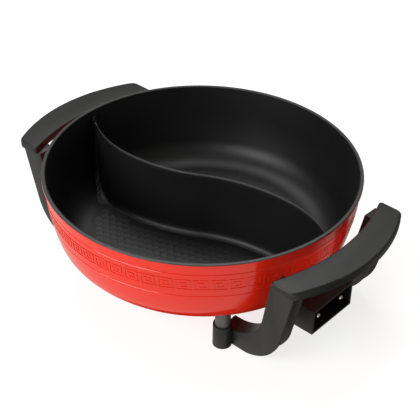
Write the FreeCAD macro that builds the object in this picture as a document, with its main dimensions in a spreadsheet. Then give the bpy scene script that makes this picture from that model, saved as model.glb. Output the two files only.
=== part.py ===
import FreeCAD, Part
import math
import os
import Sketcher

# A round electric hot pot: a die cast pot with an S shaped divider, held by two
# moulded handles whose legs are its feet, with a plug-in socket under one handle.
# Millimetres. Z is up from the table, X runs through both handles, and the
# socket faces +X. The origin is on the pot's axis at table height.

doc = FreeCAD.newDocument("hot_pot")
dims = doc.addObject("Spreadsheet::Sheet", "dims")
fits = doc.addObject("Spreadsheet::Sheet", "fits")

# Driving dimensions: name, value, what it measures
DRIVING = [
    ("rim_height", 121.0, "table to the top of the rim"),
    ("rim_radius", 160.0, "axis to the outside of the lip"),
    ("rim_land", 4.0, "width of the flat top of the rim"),
    ("lip_height", 3.2, "height of the lip round the rim"),
    ("lip_step", 1.2, "how far the lip stands out from the wall"),
    ("lip_round", 1.1, "rounding of the lip"),
    ("wall_slope", 7.1, "draft of the upper wall, degrees"),
    ("belly_slope", 16.7, "draft of the lower wall, degrees"),
    ("belly_rise", 41.6, "pot's underside up to the bend between both drafts"),
    ("belly_bend", 195.0, "radius of that bend"),
    ("pot_gap", 33.0, "table to the underside of the pot"),
    ("base_round", 36.4, "outer radius at the foot of the wall"),
    ("floor_thickness", 4.0, "pot floor"),
    ("floor_round", 30.0, "inner radius at the foot of the wall"),
    ("band_top_drop", 13.0, "rim down to the upper groove"),
    ("band_base_rise", 5.4, "bend up to the lower groove"),
    ("groove_width", 1.4, "width of a band groove"),
    ("groove_depth", 0.5, "depth of a band groove"),
    ("divider_drop", 12.0, "rim down to the top of the divider"),
    ("divider_top", 3.0, "width of the divider's top"),
    ("divider_draft", 3.0, "draft of the divider's faces, degrees"),
    ("divider_root", 8.0, "radius where the divider meets the floor"),
    ("crest_inset", 72.0, "rim back to the crest of each curve of the S"),
    ("crest_across", 24.0, "how far each crest swings from the handle line"),
    ("end_curve", 113.4, "radius of the S from its crest to the wall"),
    ("end_turn", 40.0, "how far that curve turns, into the pot's wall, degrees"),
    ("boss_inset", 59.0, "rim back to a foot boss, along the handle line"),
    ("boss_across", 81.0, "axis to a foot boss, across the handle line"),
    ("boss_radius", 9.5, "leg boss"),
    ("boss_drop", 8.0, "pot's underside down to the top of a leg boss"),
    ("cup_wall", 1.6, "wall of the cup in the top of a leg boss"),
    ("cup_depth", 3.5, "depth of that cup"),
    ("cup_gap", 0.3, "play between a foot boss and its cup"),
    ("gasket_thickness", 1.0, "heat gasket under a foot boss"),
    ("screw_shank", 2.0, "radius of a leg screw"),
    ("screw_gap", 0.3, "play round a screw shank"),
    ("screw_grip", 9.0, "length of a leg screw in the pot"),
    ("head_radius", 3.8, "head of a leg screw"),
    ("head_height", 2.6, "head of a leg screw"),
    ("head_gap", 0.7, "play round a leg screw's head"),
    ("seat_height", 11.0, "table to the screw seat inside a leg boss"),
    ("washer_thickness", 0.8, "washer under a leg screw's head"),
    ("grip_drop", 11.0, "rim down to the top of the grips"),
    ("grip_inner_radius", 221.7, "curve of a grip's inner edge"),
    ("grip_gap", 12.5, "rim to a grip's inner edge"),
    ("grip_outer_radius", 169.0, "curve of a grip's outer edge"),
    ("grip_width", 32.0, "across a grip at its middle"),
    ("grip_half", 84.5, "half the length of a grip"),
    ("grip_corner", 9.0, "rounding of a grip's outer corners"),
    ("grip_heel", 3.0, "rounding of a grip's inner corners"),
    ("cover_thickness", 3.0, "cover of a grip"),
    ("cover_roll", 2.2, "rounding of the cover's top edge"),
    ("tray_height", 5.0, "side wall of a grip below its cover"),
    ("tray_wall", 2.5, "walls of a grip"),
    ("tray_floor", 2.2, "underside of a grip"),
    ("leg_width", 18.0, "across both walls of a leg"),
    ("leg_inner", 58.0, "handle line to a leg's inner face, at the table"),
    ("leg_splay", 2.6, "lean of the legs away from the handle line, degrees"),
    ("leg_wall", 2.5, "side walls of a leg"),
    ("leg_web", 4.0, "back wall of a leg"),
    ("leg_front_top", 20.8, "rim out to the front of a leg, under the grip"),
    ("leg_front_base", -2.5, "rim out to the front line of a leg, at the table"),
    ("leg_back_top", -5.5, "rim out to the back of a leg, under the grip"),
    ("leg_back_base", -20.6, "rim out to the back line of a leg, at the arch"),
    ("leg_toe", 3.0, "foot boss back to the end of a leg under the pot"),
    ("leg_arch", 19.2, "table to the top of a leg's toe"),
    ("leg_heel_round", 50.0, "outer bend of a leg"),
    ("leg_arch_round", 44.0, "inner bend of a leg"),
    ("socket_reach", 10.0, "rim out to the mouth of the socket"),
    ("socket_half", 31.0, "half the width of the socket"),
    ("socket_drop", 13.4, "pot's underside down to the underside of the socket"),
    ("socket_height", 28.0, "outside height of the socket"),
    ("socket_wall", 2.0, "walls of the socket"),
    ("socket_start", 8.0, "back of the terminal block to the back of the socket's floor"),
    ("pot_clearance", 0.5, "play between the pot and the socket"),
    ("block_inset", 26.0, "rim back to the front of the cast terminal block"),
    ("block_depth", 34.0, "front to back of that block"),
    ("block_half", 27.0, "half the width of the terminal block"),
    ("block_drop", 9.8, "height of the block below the pot's underside"),
    ("plate_thickness", 1.5, "terminal plate and clamp plate"),
    ("pin_rise", 0.6, "pot's underside up to the terminal pins"),
    ("pin_spacing", 36.0, "between the terminal pins"),
    ("pin_radius", 2.5, "terminal pin"),
    ("pin_neck", 2.0, "radius of a pin inside its insulator"),
    ("pin_shoulder", 1.0, "insulator to the shoulder of its pin"),
    ("pin_sink", 2.0, "mouth of the socket back to the tip of a pin"),
    ("insulator_radius", 5.4, "ceramic insulator"),
    ("insulator_flange", 7.0, "flange of a ceramic insulator"),
    ("insulator_nose", 5.0, "insulator in front of the terminal plate"),
    ("probe_radius", 3.0, "probe well"),
    ("probe_drop", 4.0, "terminal pins down to the probe well"),
    ("probe_depth", 26.0, "probe well"),
    ("probe_port", 3.5, "hole for the probe in the terminal plate"),
    ("element_radius", 3.3, "sheath of the heating element"),
    ("element_ring", 84.0, "ring of the heating element"),
    ("element_bend", 16.0, "bend from the ring to the cold ends"),
    ("element_drop", 2.8, "pot's underside down to the heating element"),
    ("ridge_wall", 2.6, "metal cast round the heating element"),
    ("plate_lip", 2.0, "block's underside to the terminal plate"),
    ("plate_rise", 8.5, "pins to the top of the terminal plate"),
    ("grip_screw_across", 62.0, "handle line to the outer cover screws"),
    ("grip_screw_back", 11.0, "how far those sit behind the middle one"),
    ("cover_shank", 1.3, "radius of a cover screw"),
    ("cover_head", 2.6, "head of a cover screw"),
    ("cover_head_height", 1.0, "head of a cover screw"),
    ("cover_head_sink", 1.2, "how far those heads sit inside the grip"),
    ("cover_post", 3.4, "radius of the posts under a cover"),
    ("slot_width", 0.9, "arm of a screw's cross slot"),
    ("slot_depth", 0.7, "depth of a screw's cross slot"),
]

for row, (name, number, note) in enumerate(DRIVING, start=1):
    dims.set("A%d" % row, note)
    dims.set("B%d" % row, str(number))
    dims.setAlias("B%d" % row, name)
doc.recompute()

fit_rows = {}


def fit(formula):
    """Keep a formula in the sheet of fits, and give its cell and its value."""
    if formula not in fit_rows:
        cell = "A%d" % (len(fit_rows) + 1)
        fits.set(cell, "=" + formula)
        fits.recompute()
        fit_rows[formula] = ("fits." + cell, float(fits.get(cell)))
    return fit_rows[formula]


def get(name):
    """The value of one driving dimension."""
    return float(dims.get(name))


def bind(thing, place, formula):
    """Tie a property of an object to a formula."""
    thing.setExpression(place, fit(formula)[0])


def new_body(label):
    body = doc.addObject("PartDesign::Body", label)
    body.Label = label
    return body


def new_sketch(body, name, plane, height="0", tilt=None):
    """A sketch on one of the body's own planes, moved along its normal and tilted."""
    sketch = body.newObject("Sketcher::SketchObject", name)
    support = [part for part in body.Origin.OriginFeatures if part.Role == plane][0]
    sketch.AttachmentSupport = [(support, "")]
    sketch.MapMode = "FlatFace"
    if tilt:
        turn = FreeCAD.Rotation(FreeCAD.Vector(1, 0, 0), fit(tilt)[1])
        sketch.AttachmentOffset = FreeCAD.Placement(FreeCAD.Vector(0, 0, fit(height)[1]), turn)
    bind(sketch, "AttachmentOffset.Base.z", height)
    return sketch


def pin_point(sketch, geometry, end, across, along):
    """Place a point of the sketch by two distances from the sketch's origin."""
    for kind, formula in (("DistanceX", across), ("DistanceY", along)):
        cell, number = fit(formula)
        index = sketch.addConstraint(Sketcher.Constraint(kind, -1, 1, geometry, end, number))
        sketch.setExpression("Constraints[%d]" % index, cell)


def set_radius(sketch, geometry, formula):
    cell, number = fit(formula)
    index = sketch.addConstraint(Sketcher.Constraint("Radius", geometry, number))
    sketch.setExpression("Constraints[%d]" % index, cell)


def outline(sketch, corners):
    """A closed outline of straight lines whose corners may be rounded.

    Each corner is a pair of formulas, or three where the last one is the
    radius that rounds it."""
    spots = [FreeCAD.Vector(fit(corner[0])[1], fit(corner[1])[1], 0) for corner in corners]
    rounds = [fit(corner[2])[1] if len(corner) > 2 else 0.0 for corner in corners]
    count = len(corners)
    leave, arrive, middles = [], [], []
    for index in range(count):
        here = spots[index]
        back = (spots[index - 1] - here).normalize()
        ahead = (spots[(index + 1) % count] - here).normalize()
        half = back.getAngle(ahead) / 2
        cut = rounds[index] / math.tan(half)
        arrive.append(here + back * cut)
        leave.append(here + ahead * cut)
        inward = (back + ahead).normalize() if rounds[index] else FreeCAD.Vector()
        middles.append(here + inward * (rounds[index] / math.sin(half)))
    lines = [
        sketch.addGeometry(Part.LineSegment(leave[index], arrive[(index + 1) % count]))
        for index in range(count)
    ]
    for index, corner in enumerate(corners):
        before, after = lines[index - 1], lines[index]
        if not rounds[index]:
            sketch.addConstraint(Sketcher.Constraint("Coincident", before, 2, after, 1))
            pin_point(sketch, after, 1, corner[0], corner[1])
            continue
        point = sketch.addGeometry(Part.Point(spots[index]), True)
        pin_point(sketch, point, 1, corner[0], corner[1])
        arc = sketch.addGeometry(corner_arc(middles[index], arrive[index], leave[index]))
        turns_left = (arrive[index] - middles[index]).cross(leave[index] - middles[index]).z > 0
        first, last = (1, 2) if turns_left else (2, 1)
        sketch.addConstraint([
            Sketcher.Constraint("PointOnObject", point, 1, before),
            Sketcher.Constraint("PointOnObject", point, 1, after),
            Sketcher.Constraint("Tangent", before, 2, arc, first),
            Sketcher.Constraint("Tangent", arc, last, after, 1),
        ])
        set_radius(sketch, arc, corner[2])


def corner_arc(middle, start, end):
    """The short arc about a centre between two points, in the sketch's direction."""
    first = math.atan2(start.y - middle.y, start.x - middle.x)
    last = math.atan2(end.y - middle.y, end.x - middle.x)
    if (start - middle).cross(end - middle).z < 0:
        first, last = last, first
    if last < first:
        last += 2 * math.pi
    circle = Part.Circle(middle, FreeCAD.Vector(0, 0, 1), (start - middle).Length)
    return Part.ArcOfCircle(circle, first, last)


def circles(sketch, places, radius):
    """Circles of one radius, each placed by a pair of formulas."""
    for across, along in places:
        middle = FreeCAD.Vector(fit(across)[1], fit(along)[1], 0)
        circle = Part.Circle(middle, FreeCAD.Vector(0, 0, 1), fit(radius)[1])
        geometry = sketch.addGeometry(circle)
        pin_point(sketch, geometry, 3, across, along)
        set_radius(sketch, geometry, radius)


def pad(body, sketch, length, flip=False):
    feature = body.newObject("PartDesign::Pad", sketch.Name + "_pad")
    feature.Profile = sketch
    bind(feature, "Length", length)
    feature.Reversed = flip
    return feature


def pocket(body, sketch, length, flip=False):
    feature = body.newObject("PartDesign::Pocket", sketch.Name + "_pocket")
    feature.Profile = sketch
    bind(feature, "Length", length)
    feature.Reversed = flip
    return feature


def turned(body, sketch):
    """A full turn of a sketch about the upright axis."""
    feature = body.newObject("PartDesign::Revolution", sketch.Name + "_turn")
    feature.Profile = sketch
    feature.ReferenceAxis = (sketch, ["V_Axis"])
    feature.Angle = 360
    return feature


def edges_where(shape, test):
    """The names of the edges that pass a test."""
    return ["Edge%d" % number for number, edge in enumerate(shape.Edges, start=1) if test(edge)]


def round_edges(body, radius, test):
    """Round the edges of the body's last feature that pass a test."""
    base = body.Tip
    base.recompute(True)
    feature = body.newObject("PartDesign::Fillet", base.Name + "_round")
    feature.Base = (base, edges_where(base.Shape, test))
    bind(feature, "Radius", radius)
    return feature


def upright(edge):
    """Whether an edge is a straight upright line."""
    along = edge.Vertexes[-1].Point - edge.Vertexes[0].Point
    return len(edge.Vertexes) == 2 and abs(along.z) > 1 and math.hypot(along.x, along.y) < 0.01


def cut(label, base, tool):
    feature = doc.addObject("Part::Cut", label)
    feature.Label = label
    feature.Base, feature.Tool = base, tool
    return feature


def common(label, base, tool):
    """What two shapes share."""
    feature = doc.addObject("Part::Common", label)
    feature.Base, feature.Tool, feature.Label = base, tool, label
    return feature


def joined(label, pieces):
    feature = doc.addObject("Part::MultiFuse", label)
    feature.Label = label
    feature.Shapes = pieces
    return feature


def group(label, pieces):
    """Like pieces that share one node, each still a solid of its own."""
    feature = doc.addObject("Part::Compound", label)
    feature.Label = label
    feature.Links = pieces
    return feature


def rod(label, radius, length, along, across, height, axis=None):
    """A plain cylinder that starts at a place and runs up, or along X."""
    feature = doc.addObject("Part::Cylinder", label)
    feature.Label = label
    bind(feature, "Radius", radius)
    bind(feature, "Height", length)
    if axis == "X":
        feature.Placement.Rotation = FreeCAD.Rotation(FreeCAD.Vector(0, 1, 0), 90)
    bind(feature, "Placement.Base.x", along)
    bind(feature, "Placement.Base.y", across)
    bind(feature, "Placement.Base.z", height)
    return feature


def box(label, low, high):
    """A plain block between two corners, each given by three formulas."""
    feature = doc.addObject("Part::Box", label)
    feature.Label = label
    for side, place, first, last in zip(("Length", "Width", "Height"), "xyz", low, high):
        bind(feature, side, "(%s) - (%s)" % (last, first))
        bind(feature, "Placement.Base." + place, first)
    return feature


# Levels and radii that more than one piece uses
FLOOR = "dims.pot_gap + dims.floor_thickness"
RIM = "dims.rim_height"
WALL_TOP = "dims.rim_radius - dims.lip_step"
BELLY = "dims.pot_gap + dims.belly_rise"
BELLY_DROP = "(dims.rim_height - dims.pot_gap - dims.belly_rise)"
BELLY_RADIUS = (
    "dims.rim_radius - dims.lip_step - (" + BELLY_DROP + " - dims.lip_height) * tan(dims.wall_slope)"
)
INNER_TOP = "dims.rim_radius - dims.rim_land"
LOWER_GROOVE = "(dims.rim_height - dims.pot_gap - dims.belly_rise - dims.band_base_rise)"
INNER_BELLY = "dims.rim_radius - dims.rim_land - " + BELLY_DROP + " * tan(dims.wall_slope)"
DIVIDER_TOP = "dims.rim_height - dims.divider_drop"
CREST = "(dims.rim_radius - dims.crest_inset)"
BOSS_ALONG = "(dims.rim_radius - dims.boss_inset)"
BOSS_TOP = "(dims.pot_gap - dims.boss_drop)"
BLOCK_FRONT = "(dims.rim_radius - dims.block_inset)"
BLOCK_BACK = "(dims.rim_radius - dims.block_inset - dims.block_depth)"
PIN_HEIGHT = "(dims.pot_gap + dims.pin_rise)"
PROBE_HEIGHT = "(dims.pot_gap + dims.pin_rise - dims.probe_drop)"
SOCKET_BASE = "(dims.pot_gap - dims.socket_drop)"
SOCKET_FRONT = "(dims.rim_radius + dims.socket_reach)"
PIN_TIP = "(dims.rim_radius + dims.socket_reach - dims.pin_sink)"
GRIP_TOP = "(dims.rim_height - dims.grip_drop)"
LEG_TOE = "(dims.rim_radius - dims.boss_inset - dims.leg_toe)"
LEG_FRONT = ("(dims.rim_radius + dims.leg_front_base)", "(dims.rim_radius + dims.leg_front_top)")
LEG_BACK = ("(dims.rim_radius + dims.leg_back_base)", "(dims.rim_radius + dims.leg_back_top)")


def wall_corners(extra):
    """The outside of the pot's wall from the floor up, grown by a play."""
    foot = BELLY_RADIUS + " - dims.belly_rise * tan(dims.belly_slope)"
    return [
        ("0", "dims.pot_gap - " + extra),
        (foot + " + " + extra, "dims.pot_gap - " + extra, "dims.base_round + " + extra),
        (BELLY_RADIUS + " + " + extra, BELLY, "dims.belly_bend"),
    ]


def pot_blank():
    """The pot as a full block, with its lip and the two grooves of its band."""
    body = new_body("pot_blank")
    sketch = new_sketch(body, "pot_blank_outline", "XZ_Plane")
    outline(sketch, wall_corners("0") + [
        (WALL_TOP, "dims.rim_height - dims.lip_height"),
        ("dims.rim_radius", "dims.rim_height - dims.lip_height", "dims.lip_round"),
        ("dims.rim_radius", RIM, "dims.lip_round"),
        ("0", RIM),
    ])
    body.Tip = turned(body, sketch)
    for name, drop in (("upper", "dims.band_top_drop"), ("lower", LOWER_GROOVE)):
        middle = "dims.rim_radius - dims.lip_step - (%s - dims.lip_height) * tan(dims.wall_slope)" % drop
        groove = new_sketch(body, name + "_groove_outline", "XZ_Plane")
        outline(groove, [
            (middle + " - dims.groove_depth", "dims.rim_height - %s" % drop),
            (middle + " + dims.groove_width", "dims.rim_height - %s - dims.groove_width" % drop),
            (middle + " + dims.groove_width", "dims.rim_height - %s + dims.groove_width" % drop),
        ])
        feature = body.newObject("PartDesign::Groove", name + "_groove")
        feature.Profile = groove
        feature.ReferenceAxis = (groove, ["V_Axis"])
        feature.Angle = 360
        body.Tip = feature
    return body


def pot_hollow():
    """The inside of the pot without its divider."""
    body = new_body("pot_hollow")
    sketch = new_sketch(body, "pot_hollow_outline", "XZ_Plane")
    drop = "(dims.belly_rise - dims.floor_thickness)"
    outline(sketch, [
        ("0", FLOOR),
        (INNER_BELLY + " - " + drop + " * tan(dims.belly_slope)", FLOOR, "dims.floor_round"),
        (INNER_BELLY, BELLY, "dims.belly_bend"),
        (INNER_TOP, RIM),
        (INNER_TOP, "dims.rim_height + 5"),
        ("0", "dims.rim_height + 5"),
    ])
    body.Tip = turned(body, sketch)
    return body


def divider():
    """The S shaped wall: one section turned both ways from each crest."""
    body = new_body("divider")
    centre_curve = "(" + CREST + "^2 + dims.crest_across^2) / (2 * dims.crest_across)"
    height = "(dims.rim_height - dims.divider_drop - dims.pot_gap - dims.floor_thickness)"
    root = "(dims.divider_top / 2 + %s * tan(dims.divider_draft))" % height
    skirt = "(dims.divider_root * 2)"
    base = "dims.pot_gap + dims.floor_thickness - 0.4"
    under = "dims.pot_gap + 1"
    section = [
        ("%s - " + root + " - " + skirt, under), ("%s - " + root + " - " + skirt, base),
        ("%s - " + root, base, "dims.divider_root"),
        ("%s - dims.divider_top / 2", DIVIDER_TOP, "dims.divider_top * 0.45"),
        ("%s + dims.divider_top / 2", DIVIDER_TOP, "dims.divider_top * 0.45"),
        ("%s + " + root, base, "dims.divider_root"),
        ("%s + " + root + " + " + skirt, base), ("%s + " + root + " + " + skirt, under),
    ]
    turns = []
    for side in (1, -1):
        for name, curve, angle, flip in (
            ("centre", centre_curve, "2 * atan(dims.crest_across / " + CREST + ")", False),
            ("end", "dims.end_curve", "dims.end_turn", True),
        ):
            label = "divider_%s_%s" % (name, "front" if side < 0 else "back")
            sketch = new_sketch(body, label, "YZ_Plane", "%s * %d" % (CREST, side))
            crest = "dims.crest_across * %d" % side
            outline(sketch, [(corner[0] % crest,) + corner[1:] for corner in section])
            middle = "dims.crest_across * %d - (%s) * %d" % (side, curve, side)
            place = FreeCAD.Vector(fit(middle)[1], 0, 0)
            axis = sketch.addGeometry(
                Part.LineSegment(place, place + FreeCAD.Vector(0, get("rim_height"), 0)), True
            )
            pin_point(sketch, axis, 1, middle, "0")
            pin_point(sketch, axis, 2, middle, RIM)
            feature = body.newObject("PartDesign::Revolution", label + "_turn")
            feature.Profile = sketch
            feature.ReferenceAxis = (sketch, ["Axis0"])
            bind(feature, "Angle", angle)
            feature.Reversed = flip
            turns.append(feature)
    body.Tip = turns[-1]
    return body


def element_wire():
    """The centre line of the heating element, as lines and tangent arcs."""
    ring, bend, side = get("element_ring"), get("element_bend"), get("pin_spacing") / 2
    level = fit("dims.pot_gap - dims.element_drop")[1]
    reach = fit(BLOCK_FRONT)[1]
    near = side + bend
    along = math.sqrt((ring + bend) ** 2 - near ** 2)
    touch = ring / (ring + bend)
    half = math.atan2(near, along) / 2

    def spot(x, y):
        return FreeCAD.Vector(x, y, level)

    halfway = math.pi / 4 + half
    bow = (along - bend * math.sin(halfway), near - bend * math.cos(halfway))
    upper = [
        Part.LineSegment(spot(reach, side), spot(along, side)),
        Part.Arc(spot(along, side), spot(*bow), spot(along * touch, near * touch)),
    ]
    lower = [
        Part.Arc(spot(along * touch, -near * touch), spot(bow[0], -bow[1]), spot(along, -side)),
        Part.LineSegment(spot(along, -side), spot(reach, -side)),
    ]
    back = Part.Arc(spot(along * touch, near * touch), spot(-ring, 0), spot(along * touch, -near * touch))
    edges = [curve.toShape() for curve in upper + [back] + lower]
    return Part.Wire(edges), spot(reach, side)


def tube(label, radius):
    """A round tube along the heating element's centre line."""
    wire, start = element_wire()
    disc = Part.Wire([Part.makeCircle(radius, start, FreeCAD.Vector(1, 0, 0))])
    feature = doc.addObject("Part::Feature", label)
    feature.Label = label
    feature.Shape = wire.makePipeShell([disc], True, False)
    return feature


def corners_of(along, across):
    """The four places that mirror one place over both axes."""
    return [(x + along, y + across) for x in ("", "-1 * ") for y in ("", "-1 * ")]


BOSS_PLACES = corners_of(BOSS_ALONG, "dims.boss_across")
CUP_FLOOR = BOSS_TOP + " - dims.cup_depth"
FOOT_BASE = CUP_FLOOR + " + dims.gasket_thickness"
FOOT_RADIUS = "dims.boss_radius - dims.cup_wall - dims.cup_gap"
BLOCK_BASE = "dims.pot_gap - dims.block_drop"
CLAMP_ALONG = "(dims.rim_radius - dims.block_inset - dims.block_depth / 2)"
CLAMP_ACROSS = ("dims.pin_spacing / 4", "-1 * dims.pin_spacing / 4")


def pot_pieces():
    """The pot with its divider, foot bosses and element ridge, and its terminal block."""
    blank, hollow = pot_blank(), pot_hollow()
    rooms = cut("compartments", hollow, divider())
    inside = "dims.pot_gap + dims.base_round / 3 - (%s)" % FOOT_BASE
    feet = [
        rod("foot_%d" % number, FOOT_RADIUS, inside, along, across, FOOT_BASE)
        for number, (along, across) in enumerate(BOSS_PLACES, start=1)
    ]
    block = box(
        "block_blank",
        (BLOCK_BACK, "-dims.block_half", BLOCK_BASE),
        (BLOCK_FRONT, "dims.block_half", "dims.pot_gap + dims.base_round / 4"),
    )
    ridge = tube("element_ridge", get("element_radius") + get("ridge_wall"))
    ridge_clip = box(
        "ridge_clip",
        ("-dims.rim_radius", "-dims.rim_radius", "0"),
        (BLOCK_BACK, "dims.rim_radius", "dims.pot_gap + dims.floor_thickness / 2"),
    )
    solid = joined("pot_solid", [blank] + feet + [common("ridge", ridge, ridge_clip)])
    # Bores: four screw holes, the element's channel, the probe well and the pin pockets
    holes = [
        rod("foot_hole_%d" % number, "dims.screw_shank", "dims.screw_grip + 1",
            along, across, FOOT_BASE + " - 1")
        for number, (along, across) in enumerate(BOSS_PLACES, start=1)
    ]
    well = rod("probe_well", "dims.probe_radius", "dims.probe_depth",
               BLOCK_FRONT + " - dims.probe_depth", "0", PROBE_HEIGHT, "X")
    clamp_holes = [
        rod("clamp_hole_%d" % number, "dims.screw_shank", "dims.screw_grip",
            CLAMP_ALONG, across, BLOCK_BASE)
        for number, across in enumerate(CLAMP_ACROSS, start=1)
    ]
    channel = tube("element_channel", get("element_radius"))
    bores = joined("pot_bores", holes + [well, channel] + clamp_holes)
    pot = cut("pot_casting", solid, joined("pot_tools", [rooms, bores]))
    return [pot, cut("terminal_block", block, joined("block_tools", [blank, bores]))]


GRIP_INNER_MIDDLE = "(dims.rim_radius + dims.grip_gap - dims.grip_inner_radius)"
GRIP_OUTER_MIDDLE = (
    "(dims.rim_radius + dims.grip_gap + dims.grip_width - dims.grip_outer_radius)"
)


def grip_outline(sketch, inset):
    """A grip seen from above, drawn in from its edge by an inset."""
    half = "dims.grip_half - " + inset
    arcs = []
    for radius, middle in (
        ("dims.grip_inner_radius + " + inset, GRIP_INNER_MIDDLE),
        ("dims.grip_outer_radius - " + inset, GRIP_OUTER_MIDDLE),
    ):
        size, place, reach = fit(radius)[1], fit(middle)[1], fit(half)[1]
        sweep = math.asin(reach / size)
        circle = Part.Circle(FreeCAD.Vector(place, 0, 0), FreeCAD.Vector(0, 0, 1), size)
        arc = sketch.addGeometry(Part.ArcOfCircle(circle, -sweep, sweep))
        pin_point(sketch, arc, 3, middle, "0")
        set_radius(sketch, arc, radius)
        arcs.append((arc, place + size * math.cos(sweep), reach))
    (inner, inner_x, reach), (outer, outer_x, reach) = arcs
    for sign, end in ((-1, 1), (1, 2)):
        level = sign * reach
        line = sketch.addGeometry(Part.LineSegment(
            FreeCAD.Vector(inner_x, level, 0), FreeCAD.Vector(outer_x, level, 0)
        ))
        sketch.addConstraint([
            Sketcher.Constraint("Coincident", inner, end, line, 1),
            Sketcher.Constraint("Coincident", outer, end, line, 2),
            Sketcher.Constraint("Horizontal", line),
        ])
        cell, number = fit("(%s) * %d" % (half, sign))
        index = sketch.addConstraint(Sketcher.Constraint("DistanceY", -1, 1, line, 1, number))
        sketch.setExpression("Constraints[%d]" % index, cell)


def round_grip(body, inset):
    """Round the upright corners of a grip."""
    reach = get("grip_half")
    sides = [
        fit(middle)[1] + math.sqrt(get(radius) ** 2 - reach ** 2)
        for middle, radius in (
            (GRIP_INNER_MIDDLE, "grip_inner_radius"), (GRIP_OUTER_MIDDLE, "grip_outer_radius")
        )
    ]
    middle = sum(sides) / 2

    def outer(edge):
        return upright(edge) and edge.CenterOfMass.x > middle

    def inner(edge):
        return upright(edge) and edge.CenterOfMass.x < middle

    body.Tip = round_edges(body, "dims.grip_corner - " + inset, outer)
    body.Tip = round_edges(body, "dims.grip_heel", inner)


TRAY_TOP = GRIP_TOP + " - dims.cover_thickness"
TRAY_BASE = GRIP_TOP + " - dims.cover_thickness - dims.tray_height"
GRIP_MIDDLE = "(dims.rim_radius + dims.grip_gap + dims.grip_width / 2)"
GRIP_SCREWS = (
    (GRIP_MIDDLE, "0"),
    (GRIP_MIDDLE + " - dims.grip_screw_back", "dims.grip_screw_across"),
    (GRIP_MIDDLE + " - dims.grip_screw_back", "-1 * dims.grip_screw_across"),
)


def leg(body, side, name):
    """One J shaped leg: a channel that is open to the front, and its boss."""
    sign = "" if side < 0 else "-1 * "
    flip = side > 0
    tilt = "%sdims.leg_splay" % sign
    top = TRAY_BASE + " + dims.tray_floor / 2"
    plate = new_sketch(body, name + "_profile", "XZ_Plane", sign + "dims.leg_inner", tilt)
    outline(plate, [
        (LEG_TOE, "0"),
        (LEG_FRONT[0], "0", "dims.leg_heel_round"),
        (LEG_FRONT[1], top),
        (LEG_BACK[1], top),
        (LEG_BACK[0], "dims.leg_arch", "dims.leg_arch_round"),
        (LEG_TOE, "dims.leg_arch"),
    ])
    body.Tip = pad(body, plate, "dims.leg_width", flip)
    level = new_sketch(body, name + "_foot", "XY_Plane")
    edges = ["%d * (dims.leg_inner %s)" % (side, reach) for reach in ("- 10", "+ dims.leg_width + 10")]
    outline(level, [
        (LEG_TOE + " - 20", edges[0]), (LEG_FRONT[1] + " + 20", edges[0]),
        (LEG_FRONT[1] + " + 20", edges[1]), (LEG_TOE + " - 20", edges[1]),
    ])
    body.Tip = pocket(body, level, "dims.leg_width / 4")
    recess = new_sketch(
        body, name + "_recess", "XZ_Plane", sign + "(dims.leg_inner + dims.leg_wall)", tilt
    )
    outline(recess, [
        (BOSS_ALONG + " + dims.boss_radius + dims.leg_web", "-10"),
        (LEG_FRONT[1] + " + 40", "-10"),
        (LEG_FRONT[1] + " + 40", TRAY_BASE),
        (LEG_BACK[1] + " + dims.leg_web", TRAY_BASE),
        (LEG_BACK[0] + " + dims.leg_web", "dims.leg_arch - dims.leg_web",
         "dims.leg_arch_round - dims.leg_web"),
        (BOSS_ALONG + " + dims.boss_radius + dims.leg_web", "dims.leg_arch - dims.leg_web"),
    ])
    body.Tip = pocket(body, recess, "dims.leg_width - 2 * dims.leg_wall", not flip)
    return body


def handle_frame(label, turn):
    """The moulded lower half of a handle: a shallow tray on two legs."""
    body = new_body(label)
    tray = new_sketch(body, label + "_tray", "XY_Plane", TRAY_BASE)
    grip_outline(tray, "0")
    body.Tip = pad(body, tray, "dims.tray_height")
    round_grip(body, "0")
    room = new_sketch(body, label + "_room", "XY_Plane", TRAY_TOP)
    grip_outline(room, "dims.tray_wall")
    body.Tip = pocket(body, room, "dims.tray_height - dims.tray_floor")
    for side in (-1, 1):
        leg(body, side, "%s_leg_%s" % (label, "front" if side < 0 else "back"))
    places = [(BOSS_ALONG, sign + "dims.boss_across") for sign in ("", "-1 * ")]
    boss = new_sketch(body, label + "_bosses", "XY_Plane")
    circles(boss, places, "dims.boss_radius")
    body.Tip = pad(body, boss, BOSS_TOP)
    for name, level, radius, depth in (
        ("cups", BOSS_TOP, "dims.boss_radius - dims.cup_wall", "dims.cup_depth"),
        ("shanks", BOSS_TOP, "dims.screw_shank + dims.screw_gap", BOSS_TOP),
        ("heads", "dims.seat_height", "dims.head_radius + dims.head_gap", "dims.seat_height"),
    ):
        hole = new_sketch(body, "%s_%s" % (label, name), "XY_Plane", level)
        circles(hole, places, radius)
        body.Tip = pocket(body, hole, depth)
    for name, level, radius, depth in (
        ("cover_shanks", TRAY_TOP, "dims.cover_shank + dims.screw_gap", "dims.tray_height"),
        ("cover_heads", TRAY_BASE + " + dims.cover_head_sink", "dims.cover_head + dims.screw_gap",
         "dims.cover_head_sink"),
    ):
        hole = new_sketch(body, "%s_%s" % (label, name), "XY_Plane", level)
        circles(hole, GRIP_SCREWS, radius)
        body.Tip = pocket(body, hole, depth)
    return turned_round(body, turn)


def turned_round(thing, turn):
    """Turn a finished piece about the pot's axis to its own side."""
    thing.Placement.Rotation = FreeCAD.Rotation(FreeCAD.Vector(0, 0, 1), turn)
    return thing


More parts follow.
